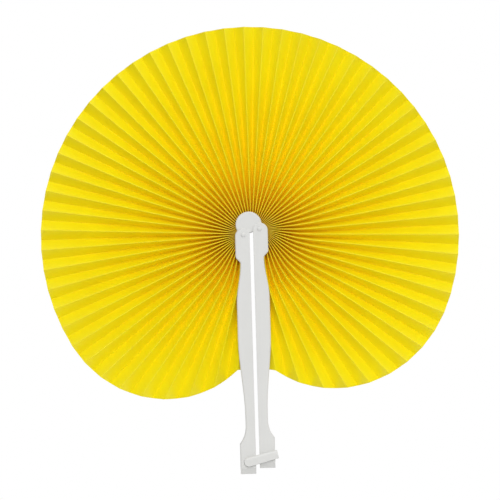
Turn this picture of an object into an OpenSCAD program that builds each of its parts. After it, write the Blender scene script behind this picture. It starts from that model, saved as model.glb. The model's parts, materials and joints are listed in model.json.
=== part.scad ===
// Folding hand fan: a pleated paper leaf that opens through a full circle round a small head, on two channelled
// arms that lie side by side as the handle when it is open and close over the pleats when it is folded.
//
// Row frame: the leaf lies in the XZ plane, +Z is up, the front faces -Y, and the origin is in the middle of the
// grip, in the gap between the arms. Shapes in the leaf's plane are drawn in 2D as (x, z) and stood up by upright().

/* [Leaf] */
// Mean radius of the open leaf, from its centre to the rim
leaf_r = 125.4; // [110:0.1:126]
// How far its rim runs out of true: longest on one side, shortest on the other
leaf_skew = 1.4; // [0:0.1:1.5]
// Direction of the longest side
leaf_skew_angle = 229; // [180:1:270]
// How far the centre of the open leaf hangs below the middle of the head
leaf_sag = 1.3; // [0:0.1:1.5]
// Width of one panel of a pleat, from fold to fold
panel_w = 8.4; // [7.5:0.1:10]
// How much shorter the leaf is beside the arms, where the corners of its strip are rounded
corner_drop = 46; // [20:1:50]
// Angle over which the left rounded corner runs out into the round rim
corner_span_left = 54; // [30:1:90]
// Angle over which the right one does
corner_span_right = 63; // [30:1:90]
// Angle between an arm and the first fold beside it
edge_angle = 7.9; // [7:0.1:9]
// Share of the leaf's sweep by which the pleats beside the arms are spread wider than the others
edge_spread = 0.055; // [0:0.005:0.08]
// How far the pleats are turned towards the left arm
leaf_turn = 0.5; // [-1:0.1:1]
// Radius at which the pleats begin, round the hub
leaf_inner_r = 3; // [2.8:0.1:4]
// Radius within which the folds bend away from the centre and gather along the hub
gather_r = 36; // [20:1:50]
// Thickness of the leaf, measured from front to back
leaf_t = 0.3; // [0.2:0.05:0.4]

/* [Arms] */
// Length of an arm, from its pivot to the end of its foot
arm_l = 143.4; // [138:0.1:150]
// Depth of an arm, from its front face to its back face
arm_d = 12.7; // [12.7:0.1:14]
// Thickness of the front and back flanges of an arm
flange_t = 1; // [0.8:0.05:1.05]
// Thickness of the web that joins an arm's flanges
web_t = 0.9; // [0.6:0.05:1]
// Distance from an arm's pivot axis to its straight edge, on the side of the gap
arm_in = 3.8; // [3.7:0.05:3.9]
// Distance from an arm's pivot axis to its outer edge, at the cheek and the belly
arm_out = 5; // [4.6:0.05:5.05]
// Distance from an arm's pivot axis to its outer edge at the waist
waist_out = 1.85; // [1.6:0.05:2.5]
// Distance from an arm's pivot axis to the outer edge of its foot
foot_out = 5.6; // [5:0.05:5.8]
// Depth of the foot, from its front face to its back face
foot_d = 12.9; // [12.9:0.1:14]
// Length of the solid foot
foot_l = 16.8; // [14:0.1:16.8]
// Length of the sloping end of the foot
foot_slope_l = 4; // [2:0.1:5]

/* [Head] */
// Distance between the two pivots
link_l = 10.3; // [10.3:0.1:10.6]
// Tilt of the line between the pivots, with the leaf open
head_tilt = 18.8; // [15:0.1:22]
// Radius of the round head plates
head_r = 7.85; // [7:0.05:7.85]
// Distance from the line between the pivots to the centre of the plates
head_rise = 4.6; // [4:0.1:5]
// Thickness of a head plate
head_t = 0.8; // [0.6:0.05:0.9]

/* [Pivots] */
// Radius of a pivot rivet's shank
rivet_r = 1.1; // [0.9:0.05:1.3]
// Radius of a pivot rivet's domed head
rivet_head_r = 1.5; // [1.4:0.05:2]
// Height of a pivot rivet's domed head
rivet_head_h = 0.5; // [0.3:0.05:0.7]
// Gap between a pin and the wall of the hole that turns on it
running_gap = 0.06; // [0.03:0.01:0.1]

/* [Clip] */
// Distance from the clip's pin to the inside of its hook
clip_reach = 17.05; // [17.05:0.05:17.4]
// Thickness of the hook
hook_t = 0.9; // [0.8:0.1:1.4]
// Radius of the clip's round end
clip_end_r = 2.85; // [2.3:0.05:3]
// Height of the clip's bar at the hook
clip_tip_h = 5; // [3.6:0.1:5]
// Thickness of the clip's bar
clip_t = 1.6; // [1.4:0.1:2]
// How far the hook reaches back beside the foot
hook_depth = 2.6; // [2:0.1:4]
// Slope of the clip when it holds the two arms together
clip_tilt = 13.7; // [12:0.1:14]
// Radius of the clip's pin
clip_pin_r = 1.2; // [1:0.05:1.4]

/* [Hidden] */
$fn = 96;
eps = 0.01;
gap = 0.1;                       // between pieces that slide past each other

// The hub, the head and the two pivots
hub = [0, 96];
link = [cos(head_tilt), sin(head_tilt)];
head_up = [-sin(head_tilt), cos(head_tilt)];
left_pivot = hub - link * link_l / 2;
right_pivot = hub + link * link_l / 2;
plate_centre = hub + head_up * head_rise;
plate_floor = 0.4;               // how far the plates reach below the line between the pivots
plate_lug_r = 2.6;               // round the rivets
hub_r = 0.8;                     // of the gathered inner ends of the pleats
hub_l = link_l - 2.5;            // between the middles of its two round ends
hub_rise = 0.6;                  // how far its axis lies above the line between the pivots
bundle = hub + head_up * hub_rise;
thread_r = 0.3;
thread_hole_r = 0.4;

// The layers, from the middle of the fan to the front and to the back
leaf_y = panel_w / 2 + leaf_t / 2;
plate_y = leaf_y + gap;
flange_y = arm_d / 2 - flange_t;
clip_y = foot_d / 2 + gap;

// The pleats: folds 0 and 1 bound the panel that is glued to the left arm's web, folds 2 to last_fold - 2 are free,
// and the last gore has the two panels that the others leave
last_fold = 124;
panels_per_gore = 4;
gores = ceil((last_fold - 2) / panels_per_gore);
shown_panels = last_fold - 4;
shown_sweep = 360 - 2 * edge_angle;
panel_angle = shown_sweep / shown_panels;
spread_power = 9;                // how quickly the wider spread beside the arms dies out
corner_start = 6.6;              // the angle from an arm at which its rounded corner begins
corner_power = 2.07;             // how the rounded corner runs out into the rim
stations = [0, 0.07, 0.15, 0.25, 1];
seam = 0.04;                     // the part of a panel that is left free where two gores meet
web_x = arm_in - web_t;          // from the pivot axis to the inside of the web
glued_t = 0.3;
glued_r = [14, 80];              // from the pivot to the two ends of the glued panel

// The outer edge of an arm, as [distance down from the pivot, distance out from the pivot axis]
arm_edge = [[13.1, arm_out], [17.2, 2.25], [41, arm_out], [62.5, arm_out], [109.5, waist_out], [114, waist_out]];
ear_r = 4.6;                     // of the ear's round outer corner; the inner one is as round as fits
ear_drop = 0.9;                  // from the pivot down to where the ear's round corners begin
edge_steps = 8;
shoulder = 125.4;                // the sharp corner at which the flare below the waist meets the foot
flare_power = 2.4;
web_top = 5;                     // below the pivot, clear of the head plates
foot_taper = 2.6;                // how far the foot's end slopes back

// The clip's pin, below the left pivot and out from its axis
clip_pin_drop = 136;
clip_pin_out = 0.4;
clip_pin = left_pivot - [clip_pin_out, clip_pin_drop];
clip_pin_depth = 4;              // in the foot
clip_pin_tip = 1.2;              // in the clip

function gore_name(g) = str("leaf_gore_", g < 9 ? "0" : "", g + 1);

plastic = [0.93, 0.93, 0.92];
paper = [0.96, 0.86, 0.05];
thread = [0.9, 0.88, 0.8];

// ---- Helpers

// Stands a flat (x, z) shape up in the fan's plane, from y0 back to y1
module upright(y0, y1) {
    translate([0, y1, 0]) rotate([90, 0, 0]) linear_extrude(y1 - y0) children();
}

// A round bar along Y, from y0 back to y1, centred on the (x, z) point p
module bar_y(p, r, y0, y1) {
    translate([p[0], y1, p[1]]) rotate([90, 0, 0]) cylinder(r = r, h = y1 - y0);
}

// Shapes drawn at the front, turned over to the back where side says so
module on_side(side) {
    if (side == "front") children();
    else mirror([0, 1, 0]) children();
}

function smooth(t) = let (c = min(1, max(0, t))) c * c * (3 - 2 * c);
function mix(a, b, t) = a * (1 - t) + b * t;
function direction(angle) = [cos(angle), sin(angle)];

// ---- The leaf

// The direction in which a fold runs. Fold 1 lies along the left arm, which hangs straight down
function fold_angle(j) =
    let (u = (last_fold - 2 * j) / shown_panels)
    j <= 1 ? 270
    : j >= last_fold - 1 ? -90
    : 90 + leaf_turn + shown_sweep / 2 * mix(u, pow(u, spread_power), edge_spread);

// The angle from a fold to the arm nearest to it
function from_arm(j) = min(270 - fold_angle(j), fold_angle(j) + 90);

// How long a fold is, from the centre of the leaf
function fold_r(j) =
    let (span = fold_angle(j) > 90 ? corner_span_left : corner_span_right,
         corner = pow(max(0, 1 - max(0, from_arm(j) - corner_start) / span), corner_power))
    leaf_r + leaf_skew * cos(fold_angle(j) - leaf_skew_angle) - corner_drop * corner;

// Where along the line between the pivots a fold is gathered
function gather(j) = -link_l / 2 * cos(180 * j / last_fold);

// Where a fold runs outside the gathered part, from the hub: through the centre of the open leaf, or beside the web
// for the two folds at the arms
web_fold_x = link[0] * link_l / 2 - web_x + glued_t + 2 * gap;
function runs_through(j) = [j <= 1 ? -web_fold_x : j >= last_fold - 1 ? web_fold_x : 0, -leaf_sag];

// Even folds are ridges at the front, odd folds are ridges at the back
function ridge(j) = j % 2 == 0 ? -1 : 1;
function pleat_depth(r) = sqrt(panel_w * panel_w - pow(r * panel_angle * PI / 180, 2));

function fold_point(j, r) =
    let (p = hub + r * direction(fold_angle(j)) + mix(link * gather(j), runs_through(j), smooth(r / gather_r)))
    [p[0], ridge(j) * pleat_depth(r) / 2, p[1]];

function fold_station(j, v) = fold_point(j, mix(leaf_inner_r, fold_r(j), v));

// A fold that is moved a little way into the panel beside it, to leave the seam free
function seam_station(j, v, inward) = mix(fold_station(j, v), fold_station(j + inward, v), seam);

// One gore: a strip of panels, as thick as the leaf
module leaf_gore(g) {
    first = 1 + g * panels_per_gore;
    panels = min(panels_per_gore, last_fold - 1 - first);
    rows = [for (k = [0 : panels])
        [for (v = stations)
            k == 0 ? seam_station(first, v, 1)
            : k == panels ? seam_station(first + k, v, -1)
            : fold_station(first + k, v)]];
    n = len(stations);
    cells = [for (k = [0 : panels - 1], i = [0 : n - 2]) k * n + i];
    front = [for (row = rows, p = row) p - [0, leaf_t / 2, 0]];
    back = [for (row = rows, p = row) p + [0, leaf_t / 2, 0]];
    b = len(front);
    rim_cells = [for (k = [0 : panels - 1]) k * n];
    last_row = panels * n;
    function quad(p, q, r, s) = [[p, q, r], [p, r, s]];
    faces = concat(
        [for (c = cells, f = quad(c, c + 1, c + n + 1, c + n)) f],
        [for (c = cells, f = quad(b + c, b + c + n, b + c + n + 1, b + c + 1)) f],
        [for (i = [0 : n - 2], f = quad(i, b + i, b + i + 1, i + 1)) f],
        [for (i = [last_row : last_row + n - 2], f = quad(i, i + 1, b + i + 1, b + i)) f],
        [for (c = rim_cells, f = quad(c, c + n, b + c + n, b + c)) f],
        [for (c = rim_cells, f = quad(c + n - 1, b + c + n - 1, b + c + 2 * n - 1, c + 2 * n - 1)) f]);
    color(paper) polyhedron(points = concat(front, back), faces = faces);
}

// The panel at each end of the strip, which is glued flat to the inside of an arm's web
module leaf_end(side) {
    x = left_pivot[0] + web_x - glued_t - gap / 2;
    top = left_pivot[1] - glued_r[0];
    color(paper)
        translate(side == "left" ? [0, 0, 0] : [0, 0, right_pivot[1] - left_pivot[1]])
        mirror([side == "left" ? 0 : 1, 0, 0])
        translate([x, -panel_w / 2, top - (glued_r[1] - glued_r[0])])
        cube([glued_t, panel_w, glued_r[1] - glued_r[0]]);
}

// The inner ends of the pleats, pressed together round the thread that holds them
module leaf_hub() {
    color(paper) difference() {
        upright(-leaf_y, leaf_y) {
            for (end = [-1, 1]) translate(bundle + end * link * hub_l / 2) circle(hub_r);
            translate(bundle) rotate(head_tilt) square([hub_l, 2 * hub_r], center = true);
        }
        along_link(hub_l + 3 * hub_r) circle(thread_hole_r);
    }
}

// A bar through the middle of the bundle
module along_link(length) {
    translate([bundle[0], 0, bundle[1]]) rotate([0, -head_tilt, 0]) rotate([0, 90, 0])
        translate([0, 0, -length / 2]) linear_extrude(length) children();
}

// The thread through the inner ends of the pleats
module hub_thread() {
    color(thread) along_link(hub_l + 2 * hub_r) circle(thread_r);
}

// ---- The head and its rivets

module plate_outline() {
    intersection() {
        translate(plate_centre) circle(head_r);
        translate(hub) rotate(head_tilt) translate([-head_r, -plate_floor]) square([2 * head_r, 3 * head_r]);
    }
    for (p = [left_pivot, right_pivot]) translate(p) circle(plate_lug_r);
}

module head_plate(side) {
    color(plastic) on_side(side) difference() {
        upright(-plate_y - head_t, -plate_y) plate_outline();
        for (p = [left_pivot, right_pivot])
            bar_y(p, rivet_r, -plate_y - head_t - eps, -plate_y + eps);
    }
}

// A short rivet: its shank is pressed into the head plate, and the arm's ear turns on it under the domed head
module pivot_rivet(side, p) {
    face = arm_d / 2 + gap / 2;
    dome_r = (rivet_head_r * rivet_head_r + rivet_head_h * rivet_head_h) / (2 * rivet_head_h);
    color(plastic) on_side(side) {
        bar_y(p, rivet_r, -face, -plate_y);
        intersection() {
            translate([p[0], -face - rivet_head_h + dome_r, p[1]]) sphere(dome_r);
            bar_y(p, rivet_head_r, -face - rivet_head_h, -face);
        }
    }
}

// ---- The arms, drawn at the left pivot with the outer edge towards +X and the foot down

// The outer edge between two of its corners, eased so that it leaves and arrives straight
function eased(a, b) = [for (i = [0 : edge_steps - 1])
    let (t = i / edge_steps) [mix(a[0], b[0], t), mix(a[1], b[1], smooth(t))]];

// The flare from the waist to the foot, which leaves straight and arrives at a sharp corner
function flare(a) = [for (i = [0 : edge_steps])
    let (t = i / edge_steps) [mix(a[0], shoulder, t), mix(a[1], foot_out, pow(t, flare_power))]];

function arm_outline() =
    let (last = len(arm_edge) - 1,
         edge = concat([for (k = [0 : last - 1]) each eased(arm_edge[k], arm_edge[k + 1])], flare(arm_edge[last])))
    concat([[-arm_in, -ear_drop], [arm_out, -ear_drop]], [for (p = edge) [p[1], -p[0]]],
           [[foot_out, -arm_l], [-arm_in, -arm_l]]);

module flange_shape() {
    polygon(arm_outline());
    translate([0, -ear_drop]) intersection() {
        union() {
            translate([arm_out - ear_r, 0]) circle(ear_r);
            circle(arm_in);
        }
        translate([-arm_in, -eps]) square([arm_in + arm_out, 2 * ear_r]);
    }
}

module arm() {
    color(plastic) difference() {
        union() {
            for (y = [-arm_d / 2, flange_y]) upright(y, y + flange_t) flange_shape();
            translate([-arm_in, -arm_d / 2, foot_l - arm_l - eps])
                cube([web_t, arm_d, arm_l - foot_l - web_top]);
            translate([-arm_in, -foot_d / 2, -arm_l]) cube([arm_in + foot_out, foot_d, foot_l]);
        }
        bar_y([0, 0], rivet_r + running_gap, -arm_d, arm_d);
        for (side = [0, 1]) mirror([0, side, 0]) foot_end();
    }
}

// What the sloping end of the foot leaves off
module foot_end() {
    translate([-2 * arm_in, 0, -arm_l]) rotate([90, 0, 90]) linear_extrude(4 * arm_out)
        polygon([[-foot_d, -1], [foot_taper - foot_d / 2, -1], [foot_taper - foot_d / 2, 0],
                 [-foot_d / 2, foot_slope_l], [-foot_d, foot_slope_l]]);
}

module left_arm() {
    difference() {
        translate([left_pivot[0], 0, left_pivot[1]]) mirror([1, 0, 0]) arm();
        bar_y(clip_pin, clip_pin_r, -foot_d, clip_pin_depth - foot_d / 2);
    }
}

module right_arm() {
    translate([right_pivot[0], 0, right_pivot[1]]) arm();
}

// ---- The clip that holds the feet together, and its pin

module clip() {
    tip = clip_reach + hook_t;
    front = -clip_y - clip_t;
    color(plastic) translate([clip_pin[0], 0, clip_pin[1]]) rotate([0, -clip_tilt, 0]) difference() {
        union() {
            upright(front, -clip_y) {
                circle(clip_end_r);
                polygon([[0, -clip_end_r], [tip, -clip_tip_h / 2], [tip, clip_tip_h / 2], [0, clip_end_r]]);
            }
            translate([clip_reach, front, -clip_tip_h / 2]) cube([hook_t, clip_t + gap + hook_depth, clip_tip_h]);
        }
        bar_y([0, 0], clip_pin_r + running_gap, -clip_y - clip_pin_tip - gap / 2, 0);
    }
}

module clip_pin() {
    color(plastic) bar_y(clip_pin, clip_pin_r, -clip_y - clip_pin_tip, clip_pin_depth - foot_d / 2);
}

left_arm();
right_arm();
head_plate("front");  // head_front
head_plate("back");  // head_back
pivot_rivet("front", left_pivot);  // rivet_front_left
pivot_rivet("front", right_pivot);  // rivet_front_right
pivot_rivet("back", left_pivot);  // rivet_back_left
pivot_rivet("back", right_pivot);  // rivet_back_right
clip();
clip_pin();
hub_thread();
leaf_hub();
leaf_end("left");  // leaf_end_left
leaf_end("right");  // leaf_end_right
for (g = [0 : gores - 1]) leaf_gore(g);
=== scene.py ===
"""A folding hand fan: a pleated yellow paper leaf, open through a full circle, on two white plastic arms.

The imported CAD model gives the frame: where the pivots are, how large each node is and how it moves. Every
piece here is built round it, in metres, in the row frame: the leaf in the XZ plane, +Z up, the front
towards -Y.
"""

import json
import math

import bmesh
import bpy
import numpy as np
from mathutils import Matrix, Vector


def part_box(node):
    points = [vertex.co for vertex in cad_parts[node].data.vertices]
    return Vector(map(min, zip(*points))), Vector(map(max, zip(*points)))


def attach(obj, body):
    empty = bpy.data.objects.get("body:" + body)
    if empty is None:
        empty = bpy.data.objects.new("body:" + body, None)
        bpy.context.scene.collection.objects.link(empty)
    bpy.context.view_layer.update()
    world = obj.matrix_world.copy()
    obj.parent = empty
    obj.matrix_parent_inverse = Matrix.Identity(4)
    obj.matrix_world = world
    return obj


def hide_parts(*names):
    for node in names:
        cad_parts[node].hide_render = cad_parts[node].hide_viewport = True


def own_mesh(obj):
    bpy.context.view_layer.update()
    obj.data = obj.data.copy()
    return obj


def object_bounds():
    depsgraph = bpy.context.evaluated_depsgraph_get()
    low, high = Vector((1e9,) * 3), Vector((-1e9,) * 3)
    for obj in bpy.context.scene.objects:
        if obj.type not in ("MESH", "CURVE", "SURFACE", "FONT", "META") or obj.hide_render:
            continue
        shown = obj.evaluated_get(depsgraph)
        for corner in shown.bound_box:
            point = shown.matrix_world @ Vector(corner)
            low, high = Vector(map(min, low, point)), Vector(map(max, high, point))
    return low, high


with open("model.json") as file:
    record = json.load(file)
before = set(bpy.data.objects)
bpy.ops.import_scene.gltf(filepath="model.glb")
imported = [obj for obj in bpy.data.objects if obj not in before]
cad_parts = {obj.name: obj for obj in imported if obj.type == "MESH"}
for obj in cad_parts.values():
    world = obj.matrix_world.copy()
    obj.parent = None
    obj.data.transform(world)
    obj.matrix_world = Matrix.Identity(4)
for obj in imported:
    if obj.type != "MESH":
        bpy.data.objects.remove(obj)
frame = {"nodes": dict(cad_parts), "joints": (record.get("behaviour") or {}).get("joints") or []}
CAD_LOW, CAD_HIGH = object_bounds()

MM = 0.001
JOINTS = {j["name"]: j for j in frame["joints"]}


def flat(point):
    """A point's place in the plane of the leaf, as (x, z)."""
    return np.array([point[0], point[2]], float)


# ---- Sizes, from the frame

LEFT_PIVOT = flat(JOINTS["fold"]["pos_m"])
RIGHT_PIVOT = flat(JOINTS["right_arm_swing"]["pos_m"])
CLIP_PIN = flat(JOINTS["clip_swing"]["pos_m"])
HUB = (LEFT_PIVOT + RIGHT_PIVOT) / 2
LINK_L = np.linalg.norm(RIGHT_PIVOT - LEFT_PIVOT)
LINK = (RIGHT_PIVOT - LEFT_PIVOT) / LINK_L
HEAD_UP = np.array([-LINK[1], LINK[0]])

GORES = sum(name.startswith("leaf_gore_") for name in frame["nodes"])
END_LOW, END_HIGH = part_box("leaf_end_left")
PANEL_W = END_HIGH.y - END_LOW.y
GLUE_GAP = 0.05 * MM                                # from the glued end panel to the web, in the CAD model
WEB_FACE = END_HIGH.x + GLUE_GAP                    # the inside of the left arm's web

FOOT_PROUD = 0.1 * MM                               # how far a foot stands proud of its arm's flanges
FLANGE_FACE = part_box("left_arm")[1].y - FOOT_PROUD  # from the middle of the fan to an arm's front or back
PLATE_INNER = -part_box("head_front")[1].y
PLATE_OUTER = -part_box("head_front")[0].y
PIN_LOW, PIN_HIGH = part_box("clip_pin")
PIN_R = (PIN_HIGH.x - PIN_LOW.x) / 2
RIVET_R = 1.1 * MM
RUNNING_GAP = 0.06 * MM

# ---- Sizes that the frame doesn't hold

LEAF_R = 125.4 * MM         # mean radius of the open leaf
LEAF_SKEW = 1.4 * MM        # how far its rim runs out of true, longest on the lower left
LEAF_SKEW_ANGLE = 229       # degrees
LEAF_SAG = 1.3 * MM         # how far its centre hangs below the middle of the head
LAST_FOLD = 124
PANELS_PER_GORE = 4
EDGE_ANGLE = 7.9            # degrees from an arm to the first fold beside it
EDGE_SPREAD = 0.055         # share of the sweep by which the pleats beside the arms are spread wider
SPREAD_POWER = 9
LEAF_TURN = 0.5             # degrees
CORNER_DROP = 46 * MM       # how much shorter the leaf is beside the arms
CORNER_START = 6.6          # degrees from an arm
CORNER_SPAN = {"left": 54, "right": 63}     # degrees
CORNER_POWER = 2.07
LEAF_INNER_R = 3 * MM
GATHER_R = 36 * MM          # within it, the folds gather along the line between the pivots
PAPER_T = 0.14 * MM
FOLD_ROUND = 0.14 * MM      # radius of a fold
FOLD_SHARE = 0.4            # the most that a fold's radius may be of the panel's width
END_COLUMNS = 12            # across the panel that is glued to an arm
END_CORNER = 3 * MM
END_GLUE = 0.1 * MM         # from the web to the middle of that panel
END_CURL = 4                # how sharply the panel leaves the web at its fold
END_CURL_OUT = 0.4 * MM
WEB_TO_FOLD = 0.5 * MM      # from the inside of a web to the leaf's first fold
BUNDLE_R = 0.8 * MM         # of the pressed inner ends of the pleats
BUNDLE_L = LINK_L - 2.5 * MM
BUNDLE_RISE = 0.6 * MM      # above the line between the pivots
BUNDLE = HUB + HEAD_UP * BUNDLE_RISE
BUNDLE_RIDGE = 0.1 * MM
THREAD_R = 0.3 * MM
THREAD_LAY = 1.6 * MM       # length of one turn of the twisted thread
RINGS_PER_TURN = 12
YARN_PRESS = 0.98           # how far apart the thread's two yarns are, as a share of their own width


# ---- Helpers

def smooth(t):
    """From 0 to 1 as t does, level at both ends."""
    t = min(1.0, max(0.0, t))
    return t * t * (3 - 2 * t)


def mix(a, b, t):
    """From a to b as t goes from 0 to 1."""
    return a * (1 - t) + b * t


def direction(degrees):
    """A unit step in the leaf's plane, at this angle above +X."""
    return np.array([math.cos(math.radians(degrees)), math.sin(math.radians(degrees))])


def new_object(name, vertices, faces):
    """A mesh object, in the scene."""
    mesh = bpy.data.meshes.new(name)
    mesh.from_pydata([tuple(v) for v in vertices], [], faces)
    mesh.update()
    obj = bpy.data.objects.new(name, mesh)
    bpy.context.scene.collection.objects.link(obj)
    return obj


def outward(obj):
    """Turns every face of a closed mesh outwards."""
    bm = bmesh.new()
    bm.from_mesh(obj.data)
    bmesh.ops.recalc_face_normals(bm, faces=bm.faces)
    bm.to_mesh(obj.data)
    bm.free()


def apply_modifiers(obj):
    """Makes what an object's modifiers do to its mesh lasting."""
    graph = bpy.context.evaluated_depsgraph_get()
    mesh = bpy.data.meshes.new_from_object(obj.evaluated_get(graph))
    obj.modifiers.clear()
    obj.data = mesh


def boolean(obj, other, operation):
    """Joins other to obj, or cuts it out, and removes it."""
    modifier = obj.modifiers.new("boolean", "BOOLEAN")
    modifier.object = other
    modifier.operation = operation
    modifier.solver = "EXACT"
    apply_modifiers(obj)
    bpy.data.objects.remove(other)


# Edges that turn more than this are left sharp, in degrees
SHARP_ON_PAPER = 60
SHARP_ON_PLASTIC = 50
SHARP_ON_BUNDLE = 30


def shade_by_angle(obj, degrees):
    """Smooth shading, with the edges that turn more than this left sharp."""
    mesh = obj.data
    for polygon in mesh.polygons:
        polygon.use_smooth = True
    mesh.set_sharp_from_angle(angle=math.radians(degrees))


# ---- Materials

PAPER_HUB_SHADE = (0.80, 0.52, 0.012)     # the paper's colour with painted shade beside the hub, less of it further out, and its own colour at the rim
PAPER_INNER = (0.935, 0.72, 0.002)
PAPER_OUTER = (0.96, 0.80, 0.002)
PAINTED_SHADE_REACH = 11 * MM, 16 * MM, 42 * MM   # how far out from the leaf's centre each of them is reached; the painted shade is gone by the last
DYE_THIN = (0.965, 0.955, 0.9)          # what the paper's colour is multiplied by where the dye is thinnest
DYE_FULL = (1, 1, 1)
PAPER_TRANSLUCENCY = 0.5
PAPER_SCATTER = (1, 0.85, 0.1)          # how far red, green and blue light spread in it, beside each other
PLASTIC_DULL = (0.70, 0.70, 0.68)
PLASTIC_CLEAN = (0.74, 0.74, 0.72)
PLASTIC_ROUGHNESS = 0.36, 0.46
THREAD_DULL = (0.62, 0.60, 0.52)
THREAD_CLEAN = (0.80, 0.78, 0.70)


def node_tree(name):
    """A new material, its node tree and its shader."""
    material = bpy.data.materials.new(name)
    material.use_nodes = True
    tree = material.node_tree
    return material, tree, tree.nodes["Principled BSDF"]


def add(tree, kind, **settings):
    """A new node. Each setting is one of its inputs, or else one of its properties."""
    node = tree.nodes.new(kind)
    for key, value in settings.items():
        if key in node.inputs:
            node.inputs[key].default_value = value
        else:
            setattr(node, key.lower(), value)
    return node


def noise(tree, scale, detail, roughness=0.5):
    """Noise that stays where it is on the object, from 0 to 1."""
    place = add(tree, "ShaderNodeTexCoord")
    texture = add(tree, "ShaderNodeTexNoise", Scale=scale, Detail=detail, Roughness=roughness)
    tree.links.new(place.outputs["Object"], texture.inputs["Vector"])
    return texture.outputs["Fac"]


def color_ramp(tree, share, stops):
    """A colour that runs through the stops, each a position and a colour, as share goes from 0 to 1."""
    ramp = add(tree, "ShaderNodeValToRGB")
    elements = ramp.color_ramp.elements
    while len(elements) < len(stops):
        elements.new(1)
    for element, (position, color) in zip(elements, stops):
        element.position = position
        element.color = (*color, 1)
    tree.links.new(share, ramp.inputs["Fac"])
    return ramp.outputs["Color"]


def bump(tree, height, strength, distance):
    """Gives the shader a surface that rises and falls by this distance."""
    relief = add(tree, "ShaderNodeBump", Strength=strength, Distance=distance)
    tree.links.new(height, relief.inputs["Height"])
    tree.links.new(relief.outputs["Normal"], tree.nodes["Principled BSDF"].inputs["Normal"])


def paper_material():
    """Thin paper, dyed unevenly and slightly translucent, with fine fibres, and with painted shade and
    bounced light that make it warmer and deeper towards the hub, where the pleats shade and light each
    other."""
    material, tree, shader = node_tree("yellow_paper")
    link = tree.links.new
    place = add(tree, "ShaderNodeTexCoord")
    reach = add(tree, "ShaderNodeVectorMath", Operation="DISTANCE")
    reach.inputs[1].default_value = (HUB[0], 0, HUB[1] - LEAF_SAG)
    link(place.outputs["Object"], reach.inputs[0])
    outwards = add(tree, "ShaderNodeMapRange")
    outwards.inputs["From Max"].default_value = PAINTED_SHADE_REACH[-1]
    link(reach.outputs["Value"], outwards.inputs["Value"])
    colors = PAPER_HUB_SHADE, PAPER_INNER, PAPER_OUTER
    stops = [(r / PAINTED_SHADE_REACH[-1], color) for r, color in zip(PAINTED_SHADE_REACH, colors)]
    # painted shade: the base colour darkens and warms towards the hub, for the shade and bounced light
    # between the deep pleats
    painted_hub_shade = color_ramp(tree, outwards.outputs["Result"], stops)
    uneven = color_ramp(tree, noise(tree, scale=45, detail=3), [(0.3, DYE_THIN), (0.7, DYE_FULL)])
    tone = add(tree, "ShaderNodeMix", Data_Type="RGBA", Blend_Type="MULTIPLY")
    tone.inputs["Factor"].default_value = 1
    link(painted_hub_shade, tone.inputs[6])
    link(uneven, tone.inputs[7])
    link(tone.outputs[2], shader.inputs["Base Color"])
    bump(tree, noise(tree, scale=2600, detail=3, roughness=0.6), strength=0.12, distance=0.05 * MM)
    shader.inputs["Roughness"].default_value = 0.45
    shader.inputs["Specular IOR Level"].default_value = 0.5
    shader.inputs["Subsurface Weight"].default_value = PAPER_TRANSLUCENCY
    shader.inputs["Subsurface Radius"].default_value = PAPER_SCATTER
    shader.inputs["Subsurface Scale"].default_value = PAPER_T * 2
    return material


def plastic_material():
    """Injection-moulded white polypropylene: satin, with a faint uneven gloss."""
    material, tree, shader = node_tree("white_plastic")
    link = tree.links.new
    flow = noise(tree, scale=60, detail=1)
    link(color_ramp(tree, flow, [(0, PLASTIC_DULL), (1, PLASTIC_CLEAN)]), shader.inputs["Base Color"])
    gloss = add(tree, "ShaderNodeMapRange")
    gloss.inputs["To Min"].default_value, gloss.inputs["To Max"].default_value = PLASTIC_ROUGHNESS
    link(flow, gloss.inputs["Value"])
    link(gloss.outputs["Result"], shader.inputs["Roughness"])
    bump(tree, noise(tree, scale=900, detail=2), strength=0.06, distance=0.02 * MM)
    return material


def thread_material():
    """Undyed cotton thread: matt, with a fuzzy sheen and fine fibres along it."""
    material, tree, shader = node_tree("thread")
    fibres = noise(tree, scale=9000, detail=2)
    tone = color_ramp(tree, fibres, [(0, THREAD_DULL), (1, THREAD_CLEAN)])
    tree.links.new(tone, shader.inputs["Base Color"])
    bump(tree, fibres, strength=0.4, distance=0.02 * MM)
    shader.inputs["Roughness"].default_value = 0.85
    shader.inputs["Sheen Weight"].default_value = 0.4
    return material


PAPER = paper_material()
PLASTIC = plastic_material()
THREAD = thread_material()


# ---- The leaf

def fold_angle(j):
    """The direction in which a fold runs, in degrees. Folds 0 and 1 lie along the left arm, the last two
    along the right one."""
    if j <= 1:
        return 270.0
    if j >= LAST_FOLD - 1:
        return -90.0
    u = (LAST_FOLD - 2 * j) / (LAST_FOLD - 4)
    return 90 + LEAF_TURN + (180 - EDGE_ANGLE) * mix(u, u**SPREAD_POWER, EDGE_SPREAD)


def fold_r(j):
    """How long a fold is, from the centre of the leaf: shorter in the rounded corners beside the arms."""
    angle = fold_angle(j)
    from_arm = min(270 - angle, angle + 90)
    span = CORNER_SPAN["left" if angle > 90 else "right"]
    corner = max(0.0, 1 - max(0.0, from_arm - CORNER_START) / span) ** CORNER_POWER
    return LEAF_R + LEAF_SKEW * math.cos(math.radians(angle - LEAF_SKEW_ANGLE)) - CORNER_DROP * corner


def fold_place(j, r):
    """A fold's place in the leaf's plane: it radiates from the centre, and is gathered along the link."""
    gathered = -LINK_L / 2 * math.cos(math.pi * j / LAST_FOLD) * LINK
    web_fold = WEB_FACE - WEB_TO_FOLD
    outside = np.array([web_fold if j <= 1 else -web_fold if j >= LAST_FOLD - 1 else 0.0, -LEAF_SAG])
    return HUB + r * direction(fold_angle(j)) + mix(gathered, outside, smooth(r / GATHER_R))


def pleat_depth(r):
    """How deep the pleats are at this radius: a panel is as wide at the hub as at the rim."""
    panel_angle = math.radians((360 - 2 * EDGE_ANGLE) / (LAST_FOLD - 4))
    return math.sqrt(PANEL_W**2 - (r * panel_angle) ** 2)


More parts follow.
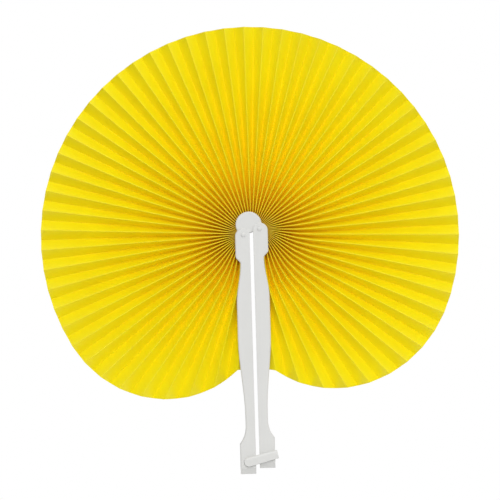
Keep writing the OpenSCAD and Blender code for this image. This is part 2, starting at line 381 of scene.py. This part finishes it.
# Shares of the way out from the hub to the rim, closest together near its two ends
ROWS = [0, 0.02, 0.05, 0.09, 0.14, 0.2, 0.28, 0.37, 0.47, 0.58, 0.69, 0.8, 0.9, 0.97, 1]
ARC_STEPS = 4
COLUMNS = 2 * ARC_STEPS + 3     # of points across a panel, from fold to fold


def panel_profile(width, depth):
    """A panel's section, as (along, down) shares of its width and depth: a flat between two round folds."""
    r = min(FOLD_ROUND, FOLD_SHARE * width)
    slope = math.atan2(depth, width)
    arc = [(r * math.sin(slope * k / ARC_STEPS) / width, r * (1 - math.cos(slope * k / ARC_STEPS)) / depth)
           for k in range(ARC_STEPS + 1)]
    middle = COLUMNS - 2 * len(arc)
    end = np.array(arc[-1])
    flat_part = [tuple(mix(end, 1 - end, (k + 1) / (middle + 1))) for k in range(middle)]
    return arc + flat_part + [(1 - a, 1 - d) for a, d in reversed(arc)]


def leaf_point(j, column, v):
    """A point between fold j and the next one, at a share v of the way out."""
    middle_r = mix(LEAF_INNER_R, (fold_r(j) + fold_r(j + 1)) / 2, v)
    start, end = fold_place(j, middle_r), fold_place(j + 1, middle_r)
    depth = pleat_depth(middle_r)
    along, down = panel_profile(np.linalg.norm(end - start), depth)[column]
    r = mix(LEAF_INNER_R, mix(fold_r(j), fold_r(j + 1), along), v)
    place = mix(fold_place(j, r), fold_place(j + 1, r), along)
    front = -1 if j % 2 == 0 else 1
    return np.array([place[0], front * depth * (0.5 - down), place[1]])


def sheet_mesh(name, grid):
    """A closed sheet of paper, PAPER_T thick, from a grid of points down its middle."""
    grid = np.array(grid)
    du = np.gradient(grid, axis=0)
    dv = np.gradient(grid, axis=1)
    normal = np.cross(du, dv)
    normal /= np.linalg.norm(normal, axis=2, keepdims=True)
    columns, rows = grid.shape[:2]
    top = (grid + normal * PAPER_T / 2).reshape(-1, 3)
    bottom = (grid - normal * PAPER_T / 2).reshape(-1, 3)
    count = columns * rows
    faces = []
    for i in range(columns - 1):
        for k in range(rows - 1):
            a, b = i * rows + k, (i + 1) * rows + k
            faces.append((a, b, b + 1, a + 1))
            faces.append((count + a, count + a + 1, count + b + 1, count + b))
    for k in range(rows - 1):
        last = (columns - 1) * rows + k
        faces.append((k, k + 1, count + k + 1, count + k))
        faces.append((last, count + last, count + last + 1, last + 1))
    for i in range(columns - 1):
        a, b = i * rows, (i + 1) * rows
        faces.append((a, count + a, count + b, b))
        a, b = a + rows - 1, b + rows - 1
        faces.append((a, b, count + b, count + a))
    obj = new_object(name, np.concatenate([top, bottom]), faces)
    outward(obj)
    return obj


def on_paper(obj, body, node):
    """Gives a piece of the leaf its material and body, and hides the CAD node that it stands for."""
    obj.data.materials.append(PAPER)
    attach(obj, body)
    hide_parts(node)


def leaf_gore(g):
    """Four pleated panels of the leaf, or two at its end."""
    first = 1 + g * PANELS_PER_GORE
    beyond = min(first + PANELS_PER_GORE, LAST_FOLD - 1)
    grid = []
    for panel in range(first, beyond):
        for column in range(0 if panel == first else 1, COLUMNS):
            grid.append([leaf_point(panel, column, v) for v in ROWS])
    node = f"leaf_gore_{g + 1:02d}"
    obj = sheet_mesh(f"leaf_{g + 1:02d}", grid)
    shade_by_angle(obj, SHARP_ON_PAPER)
    on_paper(obj, node, node)
    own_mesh(obj)


def leaf_end(side):
    """The panel that is glued inside an arm's web. Its back edge is the leaf's first or last fold."""
    node = f"leaf_end_{side}"
    low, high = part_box(node)
    outer = -1 if side == "left" else 1
    glued = outer * (abs(WEB_FACE) + END_GLUE)
    grid = []
    for column in range(END_COLUMNS + 1):
        share = column / END_COLUMNS
        corner = END_CORNER * (1 - math.sqrt(1 - max(0.0, abs(2 * share - 1) * 2 - 1) ** 2))
        x = glued + outer * END_CURL_OUT * share ** END_CURL
        grid.append([(x, mix(low.y, high.y, share), mix(high.z, low.z + corner, v)) for v in ROWS])
    obj = sheet_mesh(f"{node}_panel", grid)
    shade_by_angle(obj, SHARP_ON_PAPER)
    on_paper(obj, f"{side}_arm", node)


def bundle_point(share, r):
    """A point on the outline of the pressed pleats, a bar with round ends, at a share of the way round."""
    arc = math.pi * r
    along = share * 2 * (BUNDLE_L + arc)
    half, side = divmod(along, BUNDLE_L + arc)
    if side < BUNDLE_L:
        point = np.array([side - BUNDLE_L / 2, -r])
    else:
        point = np.array([BUNDLE_L / 2, 0]) + r * direction(math.degrees((side - BUNDLE_L) / r) - 90)
    point *= 1 if half == 0 else -1
    return BUNDLE + point[0] * LINK + point[1] * HEAD_UP


def leaf_hub():
    """The pleats' inner ends, pressed together round their thread: a bar with a ridge for every fold."""
    low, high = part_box("leaf_hub")
    steps = 2 * LAST_FOLD
    loop = np.array([bundle_point(k / steps, BUNDLE_R - (k % 2) * BUNDLE_RIDGE) for k in range(steps)])
    obj = plate("leaf_bundle", loop, low.y, high.y)
    hole = twist("hole", THREAD_R + RUNNING_GAP, 0, BUNDLE_L + 4 * BUNDLE_R)
    boolean(obj, hole, "DIFFERENCE")
    shade_by_angle(obj, SHARP_ON_BUNDLE)
    obj.data.materials.clear()
    on_paper(obj, "head", "leaf_hub")


def twist(name, r, helix_r, length, start=0.0, sides=10):
    """A strand along the line between the pivots, wound round it at helix_r."""
    turns = length / THREAD_LAY
    rings = max(2, round(turns * RINGS_PER_TURN))
    vertices = []
    for ring in range(rings + 1):
        along = (ring / rings - 0.5) * length
        turn = start + (2 * math.pi * turns * ring / rings if helix_r else 0)
        for k in range(sides):
            angle = 2 * math.pi * k / sides
            y = helix_r * math.cos(turn) + r * math.cos(angle)
            up = helix_r * math.sin(turn) + r * math.sin(angle)
            place = BUNDLE + along * LINK + up * HEAD_UP
            vertices.append((place[0], y, place[1]))
    faces = [tuple(range(sides)), tuple(range(rings * sides, (rings + 1) * sides))]
    for ring in range(rings):
        for k in range(sides):
            a, b = ring * sides + k, ring * sides + (k + 1) % sides
            faces.append((a, b, b + sides, a + sides))
    obj = new_object(name, vertices, faces)
    outward(obj)
    return obj


def hub_thread():
    """Two yarns twisted together."""
    yarn_r = THREAD_R / 2
    length = BUNDLE_L + 2 * BUNDLE_R
    for yarn in range(2):
        obj = twist(f"thread_yarn_{yarn + 1}", yarn_r, YARN_PRESS * yarn_r, length, start=math.pi * yarn)
        shade_by_angle(obj, SHARP_ON_PAPER)
        obj.data.materials.append(THREAD)
        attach(obj, "head")
        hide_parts("hub_thread")


# ---- Rounded plates, drawn from the outlines of the CAD nodes

WELD = 0.001 * MM           # points of a CAD mesh closer than this are one point
LEVEL = 0.002 * MM          # a face this close to a depth lies at it
SHORTEST = 0.04 * MM        # shorter steps along an outline are left out


def outline(node, y):
    """The outline of a CAD node's flat face at depth y, as (x, z) points, counterclockwise."""
    bm = bmesh.new()
    bm.from_mesh(frame["nodes"][node].data)
    bmesh.ops.remove_doubles(bm, verts=bm.verts, dist=WELD)
    face_points = {f for f in bm.faces if all(abs(v.co.y - y) < LEVEL for v in f.verts)}
    beside = {}
    for edge in bm.edges:
        if sum(f in face_points for f in edge.link_faces) == 1:
            for vertex in edge.verts:
                beside.setdefault(vertex, []).append(edge.other_vert(vertex))
    loops = []
    while beside:
        start = next(iter(beside))
        loop = [start]
        while True:
            onward = [v for v in beside.pop(loop[-1]) if v in beside]
            if not onward:
                break
            loop.append(onward[0])
        loops.append(np.array([flat(v.co) for v in loop]))
    bm.free()
    longest = max(loops, key=lambda points: np.ptp(points, axis=0).sum())
    keep = np.linalg.norm(longest - np.roll(longest, 1, axis=0), axis=1) > SHORTEST
    longest = longest[keep]
    ahead = np.roll(longest, -1, axis=0)
    area = (longest[:, 0] * ahead[:, 1] - ahead[:, 0] * longest[:, 1]).sum() / 2
    return longest if area > 0 else longest[::-1]


def outward_normals(loop):
    """The outward direction at each point of a counterclockwise outline, and its length along a mitre."""
    ahead = np.roll(loop, -1, axis=0) - loop
    normal = np.stack([ahead[:, 1], -ahead[:, 0]], axis=1)
    normal /= np.linalg.norm(normal, axis=1, keepdims=True)
    before = np.roll(normal, 1, axis=0)
    middle = normal + before
    middle /= np.linalg.norm(middle, axis=1, keepdims=True)
    mitre = 1 / np.maximum(0.5, (middle * normal).sum(axis=1))
    return middle, mitre


RIM_STEPS = 5


def rim_layers(y, inwards, width, depth):
    """The layers of a rounded rim from the flat face at depth y to the side wall, as (inset, depth)."""
    layers = []
    for k in range(RIM_STEPS + 1):
        turn = math.pi / 2 * k / RIM_STEPS
        layers.append((width * (1 - math.sin(turn)), y + inwards * depth * (1 - math.cos(turn))))
    return layers


def plate(name, loop, y0, y1, front=None, back=None):
    """A plate from depth y0 back to y1. front and back give its rims: a function of the outward direction at
    each point of the outline, which returns the rim's width and depth there."""
    normal, mitre = outward_normals(loop)
    inward = -normal * mitre[:, None]
    sharp = np.zeros(len(loop))
    layers = rim_layers(y0, 1, *front(normal)) if front else [(sharp, sharp + y0)]
    layers += reversed(rim_layers(y1, -1, *back(normal))) if back else [(sharp, sharp + y1)]
    vertices = []
    for inset, depth in layers:
        place = loop + inward * inset[:, None]
        vertices += [(x, y, z) for (x, z), y in zip(place, depth)]
    n = len(loop)
    faces = [tuple(range(n)), tuple(range((len(layers) - 1) * n, len(layers) * n))[::-1]]
    for k in range(len(layers) - 1):
        for i in range(n):
            a, b = k * n + i, k * n + (i + 1) % n
            faces.append((a, a + n, b + n, b))
    obj = new_object(name, vertices, faces)
    outward(obj)
    return obj


def even_rim(width, depth):
    """A rim that is the same all the way round a plate."""
    return lambda normal: (np.full(len(normal), width), np.full(len(normal), depth))


def rectangle(x0, x1, z0, z1):
    """A counterclockwise outline."""
    return np.array([(x0, z0), (x1, z0), (x1, z1), (x0, z1)])


def rod(name, place, r, y0, y1, sides=48):
    """A round bar along Y, from y0 back to y1."""
    angles = 2 * math.pi * np.arange(sides) / sides
    return plate(name, place + r * np.stack([np.cos(angles), np.sin(angles)], axis=1), y0, y1)


EDGE_BREAK = 0.12 * MM      # how far in from a sharp edge its break starts
FINE_EDGE_BREAK = 0.03 * MM
BROKEN_FROM = 40            # degrees: only edges that turn more than this are broken


def finish_plastic(obj, body, *nodes, edge=EDGE_BREAK):
    """Breaks the sharp edges that are left, shades the piece and puts it on its body."""
    bevel = obj.modifiers.new("edges", "BEVEL")
    bevel.width = edge
    bevel.segments = 2
    bevel.limit_method = "ANGLE"
    bevel.angle_limit = math.radians(BROKEN_FROM)
    weighted = obj.modifiers.new("shading", "WEIGHTED_NORMAL")
    weighted.keep_sharp = True
    shade_by_angle(obj, SHARP_ON_PLASTIC)
    apply_modifiers(obj)
    obj.data.materials.clear()
    obj.data.materials.append(PLASTIC)
    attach(obj, body)
    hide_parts(*nodes)


# ---- The arms

RIM_W = 0.85 * MM           # the rounded outer rim of an arm, across its face
RIM_DEPTH = 0.75 * MM
INNER_RIM = 0.2 * MM        # the rim along the straight inner edge
FLANGE_T = 1.0 * MM
WEB_T = 0.9 * MM
WEB_TOP = 5 * MM            # below the pivot
FOOT_SLOPE_L = 4 * MM
FOOT_TAPER = 2.6 * MM
TUCK = 0.04 * MM            # how far a part of a moulding is set in from the face that it runs into


def arm(side, pivot):
    """A channel: a flange at the front and the back, a web between them, and a solid foot with its slope."""
    outer = -1 if side == "left" else 1
    low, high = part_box(f"{side}_arm")
    flange = outline(f"{side}_arm", -FLANGE_FACE)
    foot_top = flange[:, 1].min()
    at_foot = flange[:, 1] < foot_top + TUCK
    flange[at_foot, 1] = low.z

    def rim(normal):
        """Broad on the outer side and narrow along the inner edge."""
        share = np.clip(0.5 + 1.5 * outer * normal[:, 0], 0, 1)
        return mix(INNER_RIM, RIM_W, share), mix(INNER_RIM, RIM_DEPTH, share)

    obj = plate(f"{side}_arm_moulding", flange, -FLANGE_FACE, FLANGE_T - FLANGE_FACE, front=rim)
    boolean(obj, plate("back", flange, FLANGE_FACE - FLANGE_T, FLANGE_FACE, back=rim), "UNION")
    inside = FLANGE_FACE - FLANGE_T + TUCK
    inner_x = low.x if side == "right" else high.x
    web_x = sorted((inner_x + outer * TUCK, inner_x + outer * WEB_T))
    web = rectangle(*web_x, foot_top - TUCK, pivot[1] - WEB_TOP)
    boolean(obj, plate("web", web, -inside, inside), "UNION")
    foot = rectangle(low.x + TUCK, high.x - TUCK, low.z + TUCK, foot_top)
    boolean(obj, plate("foot", foot, -inside, inside), "UNION")
    boolean(obj, rod("hole", pivot, RIVET_R + RUNNING_GAP, -2 * FLANGE_FACE, 2 * FLANGE_FACE), "DIFFERENCE")
    for face in (-1, 1):
        boolean(obj, slope_cutter(low, high, face), "DIFFERENCE")
    if side == "left":
        boolean(obj, rod("hole", CLIP_PIN, PIN_R, -2 * FLANGE_FACE, PIN_HIGH.y), "DIFFERENCE")
    finish_plastic(obj, f"{side}_arm", f"{side}_arm")


def slope_cutter(low, high, face):
    """What the sloping end of a foot leaves off, at the front (-1) or the back (1)."""
    past = 5 * MM
    slant = FOOT_TAPER / FOOT_SLOPE_L
    profile = [(FLANGE_FACE + slant * past, low.z + FOOT_SLOPE_L + past),
               (FLANGE_FACE - FOOT_TAPER - slant * past, low.z - past),
               (FLANGE_FACE + 3 * past, low.z - past), (FLANGE_FACE + 3 * past, low.z + FOOT_SLOPE_L + past)]
    vertices = [(x, face * y, z) for x in (low.x - past, high.x + past) for y, z in profile]
    sides = [(k, (k + 1) % 4, (k + 1) % 4 + 4, k + 4) for k in range(4)]
    obj = new_object("slope", vertices, [(0, 1, 2, 3), (4, 5, 6, 7), *sides])
    outward(obj)
    return obj


# ---- The head, its rivets and the clip

HEAD_RIM = 0.8 * MM, 0.6 * MM       # width and depth of the rounded rim of a head plate
RIVET_GAP = 0.05 * MM       # between a rivet's head and the arm
RIVET_POINT = 0.1 * MM      # the bevel round its inner end
CLIP_GAP = 0.1 * MM         # between the clip's bar and the feet
CLIP_RIM = 0.35 * MM        # width and depth of its rim, but for the broad slope along its upper edge
CLIP_SLOPE = 1.7 * MM, 0.9 * MM
CLIP_FRONT = 1.0 * MM       # from the clip's face back to its hook
BORE_PAST = 0.05 * MM       # how far the clip's bore runs past its pin


def head_plate(side):
    """A round plate with a rounded outer rim and the holes of its two rivets."""
    face = -1 if side == "front" else 1
    node = f"head_{side}"
    rim = even_rim(*HEAD_RIM)
    loop = outline(node, face * PLATE_OUTER)
    if face < 0:
        obj = plate(f"{node}_disc", loop, -PLATE_OUTER, -PLATE_INNER, front=rim)
    else:
        obj = plate(f"{node}_disc", loop, PLATE_INNER, PLATE_OUTER, back=rim)
    for pivot in (LEFT_PIVOT, RIGHT_PIVOT):
        boolean(obj, rod("hole", pivot, RIVET_R, -2 * PLATE_OUTER, 2 * PLATE_OUTER), "DIFFERENCE")
    finish_plastic(obj, "head", node)


def lathe(name, place, face, profile, sides=40):
    """A turned piece along Y: the profile runs from its outer end inwards, as (radius, depth)."""
    vertices = [(place[0], face * profile[0][1], place[1])]
    for r, depth in profile[1:-1]:
        for k in range(sides):
            turn = 2 * math.pi * k / sides
            vertices.append((place[0] + r * math.cos(turn), face * depth, place[1] + r * math.sin(turn)))
    vertices.append((place[0], face * profile[-1][1], place[1]))
    rings = len(profile) - 2
    faces = []
    for k in range(sides):
        onward = (k + 1) % sides
        faces.append((0, 1 + k, 1 + onward))
        faces.append((len(vertices) - 1, 1 + (rings - 1) * sides + onward, 1 + (rings - 1) * sides + k))
        for ring in range(rings - 1):
            a, b = 1 + ring * sides, 1 + (ring + 1) * sides
            faces.append((a + k, b + k, b + onward, a + onward))
    obj = new_object(name, vertices, faces)
    outward(obj)
    return obj


def rivet(side, end, place):
    """A short rivet with a domed head, which the arm's ear turns on."""
    node = f"rivet_{side}_{end}"
    low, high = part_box(node)
    face = -1 if side == "front" else 1
    outer, inner = (-low.y, -high.y) if face < 0 else (high.y, low.y)
    head_r = (high.x - low.x) / 2
    under = FLANGE_FACE + RIVET_GAP
    dome = [(0, outer), (0.35 * head_r, outer - 0.03 * MM), (0.62 * head_r, outer - 0.12 * MM),
            (0.84 * head_r, outer - 0.26 * MM), (0.96 * head_r, outer - 0.4 * MM)]
    rim = [(head_r, under + 0.03 * MM), (head_r, under)]
    shank = [(RIVET_R, under), (RIVET_R, inner + RIVET_POINT), (RIVET_R - RIVET_POINT, inner), (0, inner)]
    obj = lathe(f"{node}_turned", place, face, dome + rim + shank)
    finish_plastic(obj, "head", node, edge=FINE_EDGE_BREAK)


def clip():
    """A bar with a broad sloping upper edge, and a hook round the side of the right foot."""
    low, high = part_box("clip")
    bar_back = -FLANGE_FACE - FOOT_PROUD - CLIP_GAP
    loop = outline("clip", low.y)
    hook = outline("clip", high.y)
    hook_normal, hook_mitre = outward_normals(hook)
    hook = hook - hook_normal * (hook_mitre * TUCK)[:, None]

    def rim(normal):
        """Narrow, and broad where the outline faces upwards."""
        upper = np.clip(normal[:, 1], 0, 1) ** 2
        return mix(CLIP_RIM, CLIP_SLOPE[0], upper), mix(CLIP_RIM, CLIP_SLOPE[1], upper)

    obj = plate("clip_moulding", loop, low.y, bar_back, front=rim)
    boolean(obj, plate("hook", hook, low.y + CLIP_FRONT, high.y), "UNION")
    boolean(obj, rod("bore", CLIP_PIN, PIN_R + RUNNING_GAP, PIN_LOW.y - BORE_PAST, 0), "DIFFERENCE")
    finish_plastic(obj, "clip", "clip")


# ---- All the pieces

for gore in range(GORES):
    leaf_gore(gore)
arm("left", LEFT_PIVOT)
arm("right", RIGHT_PIVOT)
for layer in ("front", "back"):
    head_plate(layer)
    rivet(layer, "left", LEFT_PIVOT)
    rivet(layer, "right", RIGHT_PIVOT)
clip()
leaf_hub()
hub_thread()
leaf_end("left")
leaf_end("right")
pin = frame["nodes"]["clip_pin"]
pin.data.materials.clear()
pin.data.materials.append(PLASTIC)


# ---- Camera, lights and floor

VIEW_WIDTH = 0.300          # what the picture shows, at the fan
CAMERA_DISTANCE = 3.2
CAMERA_ROLL = 1.65          # degrees: the handle's lower end leans to the right
AIM_RIGHT = -0.78 * MM      # from the hub to the middle of the picture, in the picture
AIM_UP = -10.86 * MM
FLOOR_DROP = 0.4            # the fan is held up; this is how far below it the floor is
FLOOR_R = 0.7
FLOOR_COLOR = (0.88, 0.88, 0.88)
DOME_R = 12
WORLD_UP = (0.35, 0.25, 0.9)    # towards the brightest part of the studio's tent
WORLD_BRIGHT = 0.92         # strength of the tent there, and on its opposite side
WORLD_DARK = 0.02
PLEAT_BOUNCES = 16          # the light goes to and fro between the pleats


def make_camera():
    """A long lens straight in front of the fan, rolled a little, so that the handle leans."""
    data = bpy.data.cameras.new("camera")
    data.sensor_width = 36
    data.lens = data.sensor_width * CAMERA_DISTANCE / VIEW_WIDTH
    data.clip_end = 50
    camera = bpy.data.objects.new("camera", data)
    roll = math.radians(CAMERA_ROLL)
    right = Vector((math.cos(roll), 0, -math.sin(roll)))
    up = Vector((math.sin(roll), 0, math.cos(roll)))
    aim = Vector((HUB[0], 0, HUB[1])) + right * AIM_RIGHT + up * AIM_UP
    turn = Matrix((right, up, Vector((0, -1, 0)))).transposed().to_4x4()
    camera.matrix_world = Matrix.Translation((aim.x, -CAMERA_DISTANCE, aim.z)) @ turn
    bpy.context.scene.collection.objects.link(camera)
    bpy.context.scene.camera = camera


def area_light(name, place, target, size, power):
    """A round light that faces its target."""
    data = bpy.data.lights.new(name, "AREA")
    data.shape = "DISK"
    data.size = size
    data.energy = power
    light = bpy.data.objects.new(name, data)
    light.location = place
    light.rotation_euler = (Vector(target) - Vector(place)).to_track_quat("-Z", "Y").to_euler()
    bpy.context.scene.collection.objects.link(light)


def plain_material(name, color, emission=0.0):
    """What the floor and the dome are made of: matt, or else glowing."""
    material, _, shader = node_tree(name)
    shader.inputs["Base Color"].default_value = (*color, 1)
    shader.inputs["Roughness"].default_value = 0.9
    if emission:
        shader.inputs["Base Color"].default_value = (0, 0, 0, 1)
        shader.inputs["Specular IOR Level"].default_value = 0
        shader.inputs["Emission Color"].default_value = (*color, 1)
        shader.inputs["Emission Strength"].default_value = emission
    return material


def make_stage():
    """A round pale floor, and a white dome that only the camera sees."""
    bpy.ops.mesh.primitive_circle_add(vertices=96, radius=FLOOR_R, fill_type="NGON",
                                      location=(0, 0, CAD_LOW.z - FLOOR_DROP))
    floor = bpy.context.object
    floor.name = "floor"
    floor.data.materials.append(plain_material("floor", FLOOR_COLOR))
    bpy.ops.mesh.primitive_uv_sphere_add(segments=32, ring_count=16, radius=DOME_R)
    dome = bpy.context.object
    dome.name = "dome"
    dome.data.materials.append(plain_material("dome", (1, 1, 1), emission=1.0))
    for ray in ("visible_diffuse", "visible_glossy", "visible_transmission", "visible_volume_scatter",
                "visible_shadow"):
        setattr(dome, ray, False)


def make_world():
    """A white studio tent, brightest overhead and towards the back on the right."""
    world = bpy.data.worlds.new("world")
    world.use_nodes = True
    tree = world.node_tree
    background = tree.nodes["Background"]
    place = add(tree, "ShaderNodeTexCoord")
    height = add(tree, "ShaderNodeVectorMath", Operation="DOT_PRODUCT")
    height.inputs[1].default_value = Vector(WORLD_UP).normalized()
    strength = add(tree, "ShaderNodeMapRange")
    strength.inputs["From Min"].default_value = -1
    strength.inputs["To Min"].default_value = WORLD_DARK
    strength.inputs["To Max"].default_value = WORLD_BRIGHT
    tree.links.new(place.outputs["Generated"], height.inputs[0])
    tree.links.new(height.outputs["Value"], strength.inputs["Value"])
    tree.links.new(strength.outputs["Result"], background.inputs["Strength"])
    background.inputs["Color"].default_value = (1, 1, 1, 1)
    bpy.context.scene.world = world


def make_light():
    """The tent, a large soft light in front and above, and a weak one behind."""
    make_world()
    hub = (HUB[0], 0, HUB[1])
    area_light("front", place=(0.15, -2.75, 1.1), target=hub, size=2.0, power=46)
    area_light("back", place=(0.2, 2.2, 0.8), target=hub, size=1.2, power=4)
    bpy.context.scene.view_settings.view_transform = "Standard"
    bpy.context.scene.cycles.max_bounces = PLEAT_BOUNCES
    bpy.context.scene.cycles.diffuse_bounces = PLEAT_BOUNCES


make_camera()
make_stage()
make_light()
